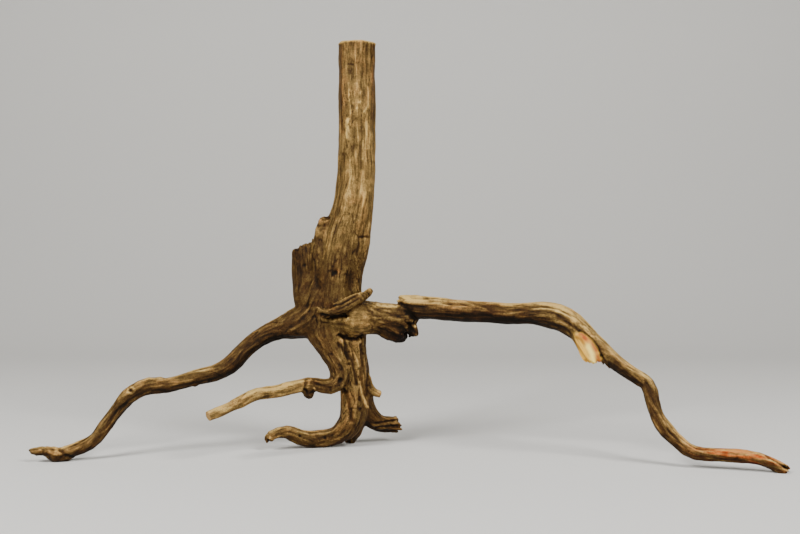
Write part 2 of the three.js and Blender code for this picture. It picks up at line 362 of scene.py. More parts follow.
def smooth_line(points):
    """The line with a sample every SAMPLE_STEP, and its corners rounded."""
    points = np.array(points, float)
    points[:, :4] *= MM
    gaps = np.linalg.norm(np.diff(points[:, :3], axis=0), axis=1)
    along = np.concatenate([[0], np.cumsum(gaps)])
    samples = np.linspace(0, along[-1], max(FEWEST_SAMPLES, round(along[-1] / SAMPLE_STEP)))
    line = np.column_stack([np.interp(samples, along, points[:, i]) for i in range(points.shape[1])])
    for _ in range(ROUNDING_PASSES):
        line[1:-1] = 0.5 * line[1:-1] + 0.25 * (line[:-2] + line[2:])
    return samples, line


def grain_frames(points):
    """The samples of a line, with the way along, across and into the wood at each."""
    samples, line = smooth_line(points)
    forward = unit(np.gradient(line[:, :3], axis=0))
    across = unit(np.cross(forward, (0, 1, 0)))
    return {
        "length": samples,
        "place": line[:, :3],
        "girth": line[:, 3],
        "look": line[:, 4:],
        "forward": forward,
        "across": across,
        "inward": np.cross(across, forward),
    }


lines = {name: grain_frames(points) for name, points in GRAIN_LINES.items()}
print("grain lines, in mm:", {name: round(line["length"][-1] / MM) for name, line in lines.items()})

# %% [markdown]
# ## The body of the root
# A root has no seams: where two roots meet, the wood flows from one to the other. The CAD model's limbs
# only cross each other. A copy of it is therefore fused with a voxel remesh, as clay is, and smoothed.
# Fibres that stand free at the broken ends are too thin for the CAD model, so they are added before the
# remesh, as tapering curves, and grow out of the wood.

# %% Twist the loose strands
# Each strand is the mm points it follows, with its radius at both ends.
STRANDS = {
    "left_tip_1": [(-264, -85, 12, 3.4), (-272, -87, 14, 2.4), (-278, -89, 14, 1.8), (-283, -88, 12, 1.4)],
    "left_tip_2": [(-266, -84, 9, 2.8), (-273, -86, 9.5, 2.2), (-277, -86, 8.2, 1.5)],
    "left_tip_3": [(-270, -90, 12, 2.4), (-275, -92, 10, 1.8), (-279, -90, 11, 1.4)],
    "squeezed_top": [(20, -32, 156, 2.6), (30, -32, 160, 2.8), (42, -28, 166, 2.4), (52, -21, 170, 1.8)],
    "squeezed_low": [(4, -30, 150, 2), (12, -35, 147.5, 2.8), (26, -38, 152, 3), (44, -30, 160, 2.6)],
    "squeezed_fork": [(14, -35, 148, 2.4), (8, -33, 151, 2), (3, -31, 155.5, 1.3)],
    "right_tip_top": [(454, -137, 9, 3.4), (461, -138, 6.5, 2.6), (466.5, -139, 5, 1.8)],
    "right_tip_low": [(452, -137, 5, 3.6), (459, -139, 3.2, 2.8), (463.5, -140, 2.2, 2)],
    "toe_claw": [(-44, -21, 18, 3.6), (-50, -23, 15, 3), (-53, -25, 10, 2.4), (-51, -26, 6, 1.6)],
}

# The frayed end is a brush of fibre bundles, no two of one length. A ring has its number of bundles, and
# how far it spreads at the three places of the axis.
FRAYED_AXIS = np.array([[80, 29.5, 21.5], [89, 34.5, 20.5], [94.5, 37.5, 20]])
FRAYED_SIDE = np.array([-0.46, 0.89, 0])
UP = np.array([0, 0, 1])
BUNDLE_RINGS = {"outer": (10, (5.2, 6.8, 8.2)), "inner": (4, (2.0, 3.4, 4.0))}
BUNDLE_GIRTHS = (2.4, 2.1, 1.7)
MOST_SHORTENED = 0.35
fray = np.random.default_rng(6)
for ring, (bundles, spread) in BUNDLE_RINGS.items():
    for index in range(bundles):
        turn = 2 * np.pi * (index + 0.5 * fray.random()) / bundles
        way_out = np.cos(turn) * FRAYED_SIDE + np.sin(turn) * UP
        route = FRAYED_AXIS + np.outer(spread, way_out)
        route[2] += fray.uniform(-MOST_SHORTENED, 0.0) * (FRAYED_AXIS[2] - FRAYED_AXIS[0])
        bundle = [(*place, girth) for place, girth in zip(route, BUNDLE_GIRTHS)]
        STRANDS[f"frayed_end_{ring}_{index + 1}"] = bundle


def strand(name, points):
    """A closed tapering tube through the points."""
    curve = bpy.data.curves.new(name, "CURVE")
    curve.dimensions = "3D"
    curve.bevel_depth = MM
    curve.bevel_resolution = 3
    curve.resolution_u = 8
    curve.use_fill_caps = True
    spline = curve.splines.new("NURBS")
    spline.points.add(len(points) - 1)
    for point, (x, y, z, radius) in zip(spline.points, points):
        point.co = (x * MM, y * MM, z * MM, 1)
        point.radius = radius
    spline.order_u = 3
    spline.use_endpoint_u = True
    tube = bpy.data.objects.new(name, curve)
    bpy.context.scene.collection.objects.link(tube)
    return tube


bpy.ops.object.select_all(action="DESELECT")
for name, points in STRANDS.items():
    strand(name, points).select_set(True)
bpy.context.view_layer.objects.active = bpy.context.selected_objects[0]
bpy.ops.object.convert(target="MESH")
strand_pieces = list(bpy.context.selected_objects)
print(len(strand_pieces), "strands twisted")

# %% Fuse the strands and the limbs
VOXEL = 1.0 * MM
SAME_PLACE = 0.01 * MM

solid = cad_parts["dry_root"]
root = bpy.data.objects.new("weathered_root", solid.data.copy())
bpy.context.scene.collection.objects.link(root)
root.data.materials.clear()
pick(root)
for piece in strand_pieces:
    piece.select_set(True)
bpy.ops.object.join()
mode("EDIT")
bpy.ops.mesh.select_all(action="SELECT")
bpy.ops.mesh.remove_doubles(threshold=SAME_PLACE)
mode("OBJECT")
remesh = root.modifiers.new("fuse", "REMESH")
remesh.mode = "VOXEL"
remesh.voxel_size = VOXEL
bpy.ops.object.modifier_apply(modifier=remesh.name)
print("the fused root has", len(root.data.vertices), "points")

# %% Work on the points as arrays
def read_all(items, name, width, kind=float):
    """A setting of every item of a mesh, with a row of that width for each."""
    values = np.empty(len(items) * width, kind)
    items.foreach_get(name, values)
    return values.reshape(-1, width)


root_mesh = root.data
count = len(root_mesh.vertices)
points = read_all(root_mesh.vertices, "co", 3)
# The remesh leaves faces of four corners only.
quads = read_all(root_mesh.loops, "vertex_index", 4, int)
edges = read_all(root_mesh.edges, "vertices", 2, int)
degree = np.bincount(edges.ravel(), minlength=count)
print(count, "points,", len(edges), "edges,", len(quads), "faces of", len(root_mesh.polygons))


def dot(a, b):
    """The dot product of each row of a with the same row of b."""
    return np.einsum("ij,ij->i", a, b)


def neighbour_mean(values):
    """The mean of each point's neighbours."""
    flat = values.reshape(count, -1)
    total = np.empty_like(flat)
    for i in range(flat.shape[1]):
        total[:, i] = np.bincount(edges[:, 0], flat[edges[:, 1], i], count)
        total[:, i] += np.bincount(edges[:, 1], flat[edges[:, 0], i], count)
    return (total / degree[:, None]).reshape(values.shape)


def outward(places):
    """The normal at each point."""
    a, b, c, d = (places[quads[:, i]] for i in range(4))
    face = np.cross(c - a, d - b)
    total = np.empty_like(places)
    for i in range(3):
        total[:, i] = np.bincount(quads.ravel(), np.repeat(face[:, i], 4), count)
    return unit(total)


def distance_to(spot, places):
    """How far each place is from a spot given in mm."""
    return np.linalg.norm(places - np.array(spot) * MM, axis=1)


def near_points(places, spots):
    """How close each place is to any of the spots: 1 up to a third of a spot's reach, and 0 past its reach.
    Each spot is x, y, z and reach in mm."""
    closest = np.zeros(len(places))
    for *spot, reach in spots:
        away = distance_to(spot, places) / (reach * MM)
        closest = np.maximum(closest, np.clip(1.5 - away * 1.5, 0, 1))
    return closest


# %% [markdown]
# ## Saw cuts
# Two ends were sawn: the top of the stem and the end of the pale side root. A saw leaves a flat face with
# a crisp edge. So each of these ends is drawn out here past its length, and is sawn off after the skin is
# shaped.

# %% Draw out the ends that get sawn
SAWN_ENDS = [
    {"pith": (44.6, 13, 446), "facing": (0, 0, 1), "radius": 21, "pale_rim": 0.55, "burr": 0.5},
    {"pith": (-100.3, -96, 48.5), "facing": (-14, -10, -5.3), "radius": 6, "pale_rim": 0.1, "burr": 0.0},
]
DRAWN_OUT = 4 * MM
DRAWN_FROM = 8 * MM
MOST_DRAWN = 1.2
CUT_MARGIN = 3 * MM


def from_cut(places, end):
    """How far each place is beyond a saw cut and how far from its pith, in metres, and the way it faces."""
    facing = unit(np.array(end["facing"]))
    away = places - np.array(end["pith"]) * MM
    beyond = away @ facing
    return beyond, np.linalg.norm(away - beyond[:, None] * facing, axis=1), facing


def near_cut(places, end, width):
    """How close each place is to the plane of a saw cut, from 1 on it to 0 about two widths off, in mm."""
    beyond, aside, facing = from_cut(places, end)
    return np.exp(-((beyond / (width * MM)) ** 2)) * (aside < 2 * end["radius"] * MM)


for end in SAWN_ENDS:
    beyond, aside, facing = from_cut(points, end)
    belongs = (beyond < CUT_MARGIN) & (aside < end["radius"] * MM + CUT_MARGIN)
    drawn = DRAWN_OUT * np.clip(1 + beyond / DRAWN_FROM, 0, MOST_DRAWN) * belongs
    points = points + drawn[:, None] * facing
    print("drawn out:", int((drawn > 0).sum()), "points")

# %% Smooth off the facets and flow the joins together
# A pass that shrinks is followed by one that swells, so thin roots keep their girth.
FACET_PASSES = 16
SHRINK = 0.5
SWELL = -0.515
for _ in range(FACET_PASSES):
    for share in (SHRINK, SWELL):
        points = points + share * (neighbour_mean(points) - points)

# Wood has grown into the corners between the roots, but not into these folds: x, y, z and reach in mm.
OPEN_FOLDS = [
    (-2, -14, 197, 8),
    (1, -18, 180, 8),
    (38, -31, 121, 6),
    (42, -30, 122, 12),
    (56, -22, 124, 11),
    (20, -36, 146, 12),
    (36, -36, 152, 12),
    (50, -26, 160, 10),
    (24, -30, 160, 8),
    (99, -17, 149, 9),
    (98, -14, 132, 12),
    (-50, -24, 12, 10),
]
FILL_PASSES = 70
FILL_SHARE = 0.9
NORMALS_EVERY = 5
LAST_SMOOTHING = 0.4
FILL_ZONE = [
    (20, -5, 150, 75),
    (40, 0, 60, 55),
    (66, 20, 40, 36),
    (0, -25, 68, 36),
    (282, -72, 124, 22),
    (-4, -4, 226, 30),
]
welding = near_points(points, FILL_ZONE) * (1 - near_points(points, OPEN_FOLDS))
for step in range(FILL_PASSES):
    if step % NORMALS_EVERY == 0:
        normals = outward(points)
    lift = dot(neighbour_mean(points) - points, normals)
    points = points + (FILL_SHARE * welding * np.maximum(lift, 0))[:, None] * normals
points = points + LAST_SMOOTHING * (neighbour_mean(points) - points)
print("smoothed; the box is", ((points.max(0) - points.min(0)) / MM).round(1).tolist())

# %% Pull the limbs to where the picture has them
# Each is x, y, z and reach in mm, then how far the wood moves in x and z.
NUDGES = [
    (-103, -24, 87, 60, 0.3, -1),
    (262, -62, 144, 32, 1, 0.6),
    (305, -77, 109, 34, -0.7, -0.9),
    (344, -93, 68, 30, 2.2, 0),
    (381, -113, 17, 26, -0.8, -1.2),
    (430, -130, 14, 40, 0, -0.8),
    (38, 0, 245, 40, 0.6, 0),
    (88, 35, 20, 20, -4.6, -1),
    (-50, -60, 66, 50, 0, -0.8),
    (344, -88, 84, 16, 0.8, 0.4),
    (48, 35, 2, 13, -8, 0),
    (-51, -25, 7, 12, 1.5, 3.5),
    (-6, -34, 57, 9, 1, 0.4),
    (-12, -5, 20, 11, 0, -1.8),
    (12, 1, 22, 12, 0.6, -1.8),
    (68, -8, 127, 14, 0, -4),
    (-23, 5, 220, 12, 0, -4.5),
    (-207, -61, 46, 15, 1, -1.4),
    (15, 0, 265, 16, 2.4, 0),
    (294, -81, 100, 9, -1.6, 1),
]
for *spot, reach, right, up in NUDGES:
    away = distance_to(spot, points) / (reach * MM)
    points = points + np.exp(-(away**2))[:, None] * np.array([right, 0, up]) * MM
normals = outward(points)
print("pulled; the box is", ((points.max(0) - points.min(0)) / MM).round(1).tolist())

# %% Read the grain at every point
# How fast a line loses weight away from it, how even the weight is inside its girth, and the number of
# girths at which a line ends.
FALL_OFF = 7
EVENNESS = 0.05
REACH = 3.2
LEAST_WEIGHT = 1e-9
grain = {}
for name, line in lines.items():
    reach = REACH * line["girth"].max()
    low = line["place"].min(0) - reach
    high = line["place"].max(0) + reach
    inside = np.flatnonzero(((points > low) & (points < high)).all(1))
    away = points[inside, None] - line["place"][None]
    distance = np.linalg.norm(away, axis=2)
    nearest = distance.argmin(1)
    rows = np.arange(len(inside))
    off = away[rows, nearest]
    ratio = distance[rows, nearest] / line["girth"][nearest]
    near = ratio < REACH
    inside, nearest, off, ratio = inside[near], nearest[near], off[near], ratio[near]
    fibre = np.column_stack([dot(off, line[way][nearest]) for way in ("forward", "across", "inward")])
    fibre[:, 0] += line["length"][nearest]
    grain[name] = {
        "who": inside,
        "weight": 1 / (ratio**FALL_OFF + EVENNESS),
        "fibre": fibre,
        "look": line["look"][nearest],
    }
total_weight = np.zeros(count)
for part in grain.values():
    total_weight[part["who"]] += part["weight"]
print("points without grain:", int((total_weight == 0).sum()))
total_weight = np.maximum(total_weight, LEAST_WEIGHT)


def from_lines(value_of):
    """Mix a value of each grain line by how near the point is to that line."""
    mixed = np.zeros(count)
    for name, part in grain.items():
        mixed[part["who"]] += part["weight"] * value_of(name, part)
    return mixed / total_weight


# %% [markdown]
# ## Noise that follows the fibre
# Gradient noise gives soft random lumps. Stretched along the fibre it gives streaks, and where it crosses
# zero it gives fine wandering grooves, as the checks in dry wood are.

# %% Make noise
NOISE_CELLS = 32
NOISE_GAIN = 1.7
WANDER_SIZE = 28 * MM
WANDER_SEED = 50
LINE_SHIFT = 3.7


def noise_at(places, seed):
    """Smooth noise between about -1 and 1. A lump is about one unit of place across."""
    cells = unit(np.random.default_rng(seed).normal(size=(NOISE_CELLS,) * 3 + (3,)))
    cell = np.floor(places).astype(int)
    inside = places - cell
    fade = inside**3 * (inside * (inside * 6 - 15) + 10)
    total = np.zeros(len(places))
    for corner in np.ndindex(2, 2, 2):
        corner = np.array(corner)
        share = np.prod(np.where(corner == 1, fade, 1 - fade), axis=1)
        slope = cells[tuple(((cell + corner) % NOISE_CELLS).T)]
        total += share * dot(slope, inside - corner)
    return NOISE_GAIN * total


def lumps(size, seed):
    """Noise as lumps of that size in mm, the same in every direction."""
    return noise_at(points / (size * MM), seed)


def streaks(length, width, seed, wander=0.0):
    """Noise stretched along the fibre. Length, width and wander are in mm."""

    def value_of(name, part):
        shift = wander * MM * noise_at(part["fibre"] / WANDER_SIZE, seed + WANDER_SEED)
        place = part["fibre"] + np.outer(shift, (0, 1, 1))
        place /= np.array([length, width, width]) * MM
        return noise_at(place + LINE_SHIFT * (list(grain).index(name) + 1), seed)

    return from_lines(value_of)


noises = {
    "coarse": streaks(60, 6.5, 11, 3.0),
    "middle": streaks(34, 3.2, 12, 2.5),
    "fine": streaks(22, 1.7, 13, 1.5),
    "swell": lumps(24, 14),
    "knobs": lumps(9, 15),
    "small_knobs": lumps(5, 22),
    "grit": lumps(3.2, 16),
}


def mix(amounts):
    """The noises added up, each times its amount."""
    return sum(amount * noises[name] for name, amount in amounts.items())


# A crack runs where its noise is near zero, and comes and goes along its length.
CRACK_WIDTH = 0.055
crack_field = streaks(70, 5.0, 17, 4.0)
cracks = np.exp(-((crack_field / CRACK_WIDTH) ** 2)) * np.clip(0.5 + 1.5 * lumps(30, 18), 0, 1)
# Thin flakes of bark lie along the fibre.
FLAKES_FROM = 0.12
FLAKE_EDGE = 4
flakes = np.clip(0.5 + FLAKE_EDGE * (streaks(27, 4.6, 19, 2.0) - FLAKES_FROM), 0, 1)
print("streaks made; deepest crack share", round(float(cracks.max()), 2))

# %% [markdown]
# ## The marks of this root
# Some marks make this root the one in the picture: the fold under the knee, the furrow beside the rib, the
# strands squeezed across the crotch, holes and scars. Each is placed by where it shows in the picture, and
# is pressed into the points that face the camera there. Some of them carry painted shade or a painted
# highlight: dark lines in folds, furrows and hollows, dark bands down the edges of the stem, and a paler band
# on the knee.

# %% Press the marks in
MARKS = [
    # Picture points, width in pixels, depth in mm, change of tone, change of rust.
    # Painted shade in the furrow beside the rib.
    ([(318, 240), (315, 252), (314, 265), (315, 278), (318, 288)], 3.6, 1.2, -0.12, 0),
    # Painted shade in the crease under the knee.
    ([(340, 335), (348, 339), (356, 339), (362, 336)], 1.8, 2.6, -0.35, 0),
    # Painted shadow under the squeezed strands.
    ([(322, 315), (329, 318), (337, 318), (345, 316)], 2, 3.2, -0.4, 0),
    ([(333, 305), (341, 304), (350, 299), (357, 295)], 1.2, 1.1, -0.2, 0),
    ([(330, 313), (345, 306), (358, 299)], 1, 0.8, -0.16, 0),
    ([(339, 345), (346, 352), (352, 361), (355, 372), (357, 384)], 2.3, 1.7, -0.15, 0),
    ([(361, 345), (362, 360), (361, 380), (360, 400)], 2, 1.4, -0.15, 0),
    ([(347, 392), (349, 405), (352, 420)], 2.2, 1.2, -0.12, 0.1),
    ([(344, 338), (347, 350), (349, 364)], 1.2, 1, -0.12, 0),
    ([(368, 350), (368, 375), (367, 395)], 1.4, 1.2, -0.16, 0),
    ([(334, 273)], 3, 1.8, -0.34, 0),
    ([(338, 271)], 2.2, 0.4, 0.12, 0.4),
    ([(321, 221)], 2, -0.4, 0.2, 0.35),
    ([(326, 216)], 2.4, 1.6, -0.35, 0),
    ([(305, 265)], 1.8, 0.9, -0.18, 0),
    ([(309, 256), (308, 268), (309, 280)], 2.4, -0.5, 0.12, 0),
    # Painted shade in a hollow of the upper crotch.
    ([(350, 276), (350, 286)], 4, 1, -0.12, 0),
    ([(298, 254), (300, 270), (299, 285)], 2.6, 0.5, -0.12, 0.1),
    ([(308, 306), (320, 303), (334, 307)], 2.6, 0.4, -0.08, 0.2),
    ([(340, 380)], 2.4, 2.2, -0.35, 0),
    ([(344, 391)], 2, 1.8, -0.3, 0),
    ([(342, 340)], 1.8, -0.6, 0.35, 0.3),
    ([(360, 382), (362, 394), (367, 407)], 1.5, -1.1, 0.36, 0),
    ([(361, 409)], 1.8, 1.4, -0.3, 0),
    ([(197, 387)], 2.6, -1.5, -0.1, 0),
    ([(251, 372)], 3.2, -1, 0, 0.1),
    ([(160, 379)], 3.6, -1, 0.06, 0),
    ([(209, 381)], 2, 0.9, -0.16, 0),
    ([(60, 450), (66, 455), (72, 457)], 2, 1.1, -0.16, 0),
    ([(306, 381), (305, 388), (307, 394)], 1.6, 1, -0.16, 0),
    ([(314, 381), (322, 386), (330, 388)], 2.2, 1, -0.14, 0),
    ([(360, 237), (368, 237)], 1.3, 0.8, -0.2, 0),
    ([(365, 238)], 2, -0.3, 0.2, 0),
    ([(410, 325), (411, 331), (409, 336)], 2.6, 3.2, -0.5, 0),
    ([(404, 333)], 2.6, 1.6, -0.3, 0.2),
    ([(415, 327)], 1.3, -0.6, 0.5, 0),
    ([(407, 329)], 1.2, -0.4, 0.3, 0),
    ([(416, 335)], 1.2, -0.4, 0.4, 0),
    # Painted shade under the lip where the right arm starts.
    ([(401, 304), (407, 309), (414, 318)], 3, 1.8, -0.3, 0),
    ([(408, 300), (422, 301), (438, 305)], 4.5, 0, 0.16, 0),
    ([(558, 312)], 2.2, -0.3, 0.18, 0),
    ([(558, 316), (570, 324), (579, 331)], 2.2, 0.8, -0.24, 0),
    ([(572, 317), (584, 328), (594, 339)], 1.8, -0.3, 0.1, 0),
    ([(376, 423), (388, 421), (400, 419)], 1, 1.2, -0.22, 0),
    ([(376, 427), (388, 426), (401, 425)], 1, 1.2, -0.22, 0),
    ([(378, 431), (389, 431), (400, 431)], 1, 1.2, -0.22, 0),
    ([(229, 377), (236, 379), (243, 377)], 2.4, 1.6, -0.25, 0),
    ([(131, 391)], 1.8, 1.2, -0.25, 0),
    ([(268, 440)], 1.8, 1.6, -0.3, 0),
    ([(580, 331), (589, 337), (598, 348), (603, 358)], 1.3, 1.1, -0.34, 0),
    ([(766, 456), (776, 462), (785, 467)], 1.1, 0.8, -0.26, 0),
    ([(784, 467), (791, 470)], 1.3, 3, -0.4, 0),
    ([(350, 75), (349, 96), (351, 110), (348, 122)], 1.3, -0.3, 0.17, 0),
    ([(348, 120), (347, 128), (347, 137)], 2, -0.3, 0.32, 0),
    ([(350, 160), (350, 176), (348, 196)], 2.4, 0.4, 0.2, 0),
    ([(361, 170), (361, 196)], 1.6, 0.3, 0.16, 0),
    ([(368, 88), (368, 105), (364, 112)], 1.4, -0.3, 0.18, 0),
    ([(326, 233), (327, 250)], 3, 0, 0.15, 0),
    ([(367, 122), (367, 149)], 1.3, -0.3, 0.14, 0),
    ([(363, 141), (363, 159)], 1.3, -0.3, 0.14, 0),
    ([(371, 134), (372, 160)], 1.3, -0.2, 0.12, 0),
    ([(367, 181), (366, 197)], 1.3, -0.2, 0.14, 0),
    ([(354, 178), (354, 190)], 1.5, 0, 0.14, 0),
    ([(348, 64), (353, 64.5)], 0.9, 0.5, -0.14, 0),
    # Painted shade: dark bands down the left and right edges of the stem, with a reddish cast.
    ([(341, 46), (341, 90), (342, 132)], 2, 0.2, -0.11, 0.18),
    ([(373, 46), (373, 118)], 2, 0.1, -0.07, 0.18),
    ([(360, 93)], 1.6, -0.3, 0.26, 0),
    ([(360, 102)], 1.6, -0.3, 0.26, 0),
    ([(357, 108)], 1.4, -0.3, 0.22, 0),
    ([(300, 436)], 1.3, 1, -0.32, 0),
    ([(325, 438)], 1.3, 1, -0.32, 0),
    ([(394, 337), (402, 339)], 2.4, 0, 0.04, 0.5),
    ([(371, 308), (381, 305), (391, 308)], 2.2, -0.3, 0.12, 0),
    # Painted shade over the upper knee, then a painted highlight along its lower edge.
    ([(356, 316), (366, 308), (372, 316)], 5, 0.3, -0.13, 0),
    ([(345, 329), (352, 331), (361, 329)], 3, -0.3, 0.05, 0),
    ([(309, 393)], 5.5, 0, -0.14, 0),
    ([(314, 388), (316, 391)], 1.2, -0.5, 0.35, 0),
    ([(270, 438)], 1.8, 0, 0.35, 0),
    ([(304, 390), (310, 393), (316, 391)], 1.4, 1, -0.1, 0),
    ([(697, 449), (712, 450), (727, 453)], 1.6, 0.3, -0.12, 0.4),
    ([(749, 456), (760, 459)], 1.8, -0.2, 0.1, 0.2),
]
# The raised rim of a hole has the same values, with its radius as the width.
RINGS = [([(131, 391)], 3.2, -0.5, 0.1, 0)]
# A point is hidden if another in its cell of the picture is nearer by more than this.
DEPTH_CELL = 3
CELLS_A_COLUMN = 1000
HIDDEN_BY = 14 * MM
RAGGEDNESS = 0.5
RING_LINE = 1.2

seen = in_picture(points)
facing = dot(normals, CAMERA_PLACE - points) > 0
cell_of = np.floor(seen / DEPTH_CELL).astype(int)
cell_key = cell_of[:, 0] * CELLS_A_COLUMN + cell_of[:, 1]
front = np.full(cell_key.max() + 1, np.inf)
np.minimum.at(front, cell_key, points[:, 1])
visible = facing & (points[:, 1] < front[cell_key] + HIDDEN_BY)


def to_line(places, corners):
    """The distance in pixels from each place to a line through the corners, or to a single corner."""
    corners = np.array(corners, float)
    best = np.linalg.norm(places - corners[0], axis=1)
    for start, stop in zip(corners[:-1], corners[1:]):
        way = stop - start
        share = np.clip((places - start) @ way / (way @ way), 0, 1)
        best = np.minimum(best, np.linalg.norm(places - start - share[:, None] * way, axis=1))
    return best


press = np.zeros(count)
tone_change = np.zeros(count)
rust_change = np.zeros(count)
ragged = 1 + RAGGEDNESS * lumps(3.5, 21)
for index, (picture_points, width, depth, tone, rust) in enumerate(MARKS + RINGS):
    away = to_line(seen, picture_points)
    if index < len(MARKS):
        away = away * ragged / width
    else:
        away = (away - width) / RING_LINE
    shape = np.exp(-(away**2)) * visible
    press += depth * MM * shape
    tone_change += tone * shape
    rust_change += rust * shape
print("marks:", len(MARKS + RINGS), "deepest", round(float(press.max() / MM), 1), "mm")

# %% [markdown]
# ## Fresh wood
# The side root that hung from the right arm was torn off lately. It left a pale face that no sun has
# bleached, cream along its lower edge and pink along the upper one, with a ragged end.

# %% Mark the torn face
TORN_FACE = [(574, 334), (581, 332), (590, 338), (598, 350), (600, 362), (595, 366), (584, 362), (577, 346)]
PINK_BAND = [(582, 334), (590, 342), (595, 351), (597.5, 361)]
BRIGHT_BAND = [(588, 346), (592, 354), (593, 362)]
TORN_GROOVE = [(577, 337), (581, 340), (586, 345)]
SNAPPED_EDGE = [(586, 360), (590, 361.5)]
STUB_MIDDLE = (292.5, -81, 100.5)
STUB_RADIUS = 11 * MM
STUB_TOP = 106 * MM
STUB_RIGHT = 297.5 * MM


def inside_outline(places, outline):
    """Whether each place is inside the outline, in pixels."""
    result = np.zeros(len(places), bool)
    for (x1, y1), (x2, y2) in zip(outline, outline[1:] + outline[:1]):
        if y1 != y2:
            crosses = (places[:, 1] > min(y1, y2)) & (places[:, 1] <= max(y1, y2))
            result ^= crosses & (places[:, 0] < x1 + (places[:, 1] - y1) * (x2 - x1) / (y2 - y1))
    return result


def beside(line, width):
    """How close each point is to a line in the picture, from 1 on it to 0 about two widths off, in pixels."""
    return np.exp(-((to_line(seen, line) / width) ** 2))


stub_end = (distance_to(STUB_MIDDLE, points) < STUB_RADIUS) & (points[:, 2] < STUB_TOP)
stub_end &= points[:, 0] < STUB_RIGHT
torn = ((inside_outline(seen, TORN_FACE) & visible) | stub_end).astype(float)
torn = neighbour_mean(neighbour_mean(torn))
pink = np.clip(1.5 * beside(PINK_BAND, 3.6), 0, 1) * torn
pink = pink * np.clip(1.0 + 0.7 * lumps(6, 42), 0, 1)
brightest = beside(BRIGHT_BAND, 2.8) * torn
torn_dark = beside(TORN_GROOVE, 1.5) + beside(SNAPPED_EDGE, 1.4)
print("torn face:", int((torn > 0.5).sum()), "points")

# %% Raise the relief
# Parts of the root where the skin differs. Each spot is x, y, z and reach in mm.
ZONES = {
    "low_stem": [(38, 0, 75, 62), (20, 0, 150, 55)],
    "trunk": [(35, 2, 330, 190), (25, 0, 150, 60), (40, 0, 60, 50)],
    "broken": [(-15, 4, 222, 14), (4, -8, 247, 13), (-6, -34, 60, 10), (98, -16, 127, 16)],
    "bulb": [(-258, -84, 8, 22), (92, -14, 157, 9)],
    "squeezed": [(20, -34, 152, 14), (36, -32, 158, 14), (52, -20, 168, 10)],
    "fraying": [(88, 35, 20, 18)],
    "mottled": [(15, -8, 190, 50), (20, -12, 150, 45)],
    # Painted shade: dark patches under the sawn root, under the right neck and on the rib's broken top.
    "painted_shade_nooks": [(-6, -34, 60, 12), (98, -16, 127, 14), (-15, 4, 224, 14)],
    "red_tip": [(400, -121, 15, 28), (440, -133, 12, 36)],
}
RIM_WIDTH = 1.2
TORN_BUNDLE = np.array([30, 2.2, 2.2]) * MM
# How deep the grooves of the thinner limbs are beside those of the stem.
FIBRE_STRENGTH = {"sawn_root": 0.5, "right_arm": 0.8}
RELIEF_SMOOTHING = 0.15

zone = {name: near_points(points, spots) for name, spots in ZONES.items()}
limb = 1 - zone["trunk"]
strand_noise = streaks(40, 2.4, 24)
torn_fibre = from_lines(lambda name, part: noise_at(part["fibre"] / TORN_BUNDLE, 31))
# Grooves are deepest low on the stem, where the roots pull on the wood.
strength = from_lines(lambda name, part: FIBRE_STRENGTH.get(name, 1.0))
strength = strength * (0.55 + 0.9 * zone["low_stem"]) * (1 - 0.6 * torn)
# How far each thing stands out of the wood, in mm.
relief_parts = {
    "fibres": strength * mix({"coarse": 0.55, "middle": 0.34, "fine": 0.12}),
    "skin": mix({"swell": 0.75, "knobs": 0.22, "grit": 0.07}),
    "cracks": -0.55 * strength * cracks,
    "flakes": 0.4 * limb * (1 - torn) * flakes,
    "broken_wood": zone["broken"] * mix({"knobs": 1.9, "small_knobs": 1.1, "grit": 0.6}),
    "bulbs": zone["bulb"] * mix({"knobs": 0.9, "small_knobs": 0.7}),
    "squeezed_strands": 0.8 * zone["squeezed"] * streaks(14, 1.9, 23),
    "frayed_strands": 1.9 * zone["fraying"] * strand_noise,
    "marks": -press / MM,
    "torn_fibres": 1.1 * torn * torn_fibre,
    "saw_burrs": sum(end["burr"] * near_cut(points, end, RIM_WIDTH) for end in SAWN_ENDS),
}
shaped = points + (sum(relief_parts.values()) * MM)[:, None] * normals
shaped = shaped + RELIEF_SMOOTHING * (neighbour_mean(shaped) - shaped)

# The stub snapped off level, with a ragged end.
STUB_END = 102.5
SNAP_MIDDLE = (290, -80, 101)
SNAP_RADIUS = 12 * MM
SNAP_RIGHT = 298.5 * MM
LEFT_BELOW = 0.15
RAGGED_FIBRES = 1.6
RAGGED_LUMPS = 0.8
snapped = (distance_to(SNAP_MIDDLE, shaped) < SNAP_RADIUS) & (shaped[:, 0] < SNAP_RIGHT)
level = (STUB_END + RAGGED_FIBRES * torn_fibre + RAGGED_LUMPS * lumps(2.5, 32)) * MM
below = snapped & (shaped[:, 2] < level)
shaped[below, 2] = level[below] - LEFT_BELOW * (level[below] - shaped[below, 2])
print("most relief in mm:", {name: round(float(part.max()), 1) for name, part in relief_parts.items()})

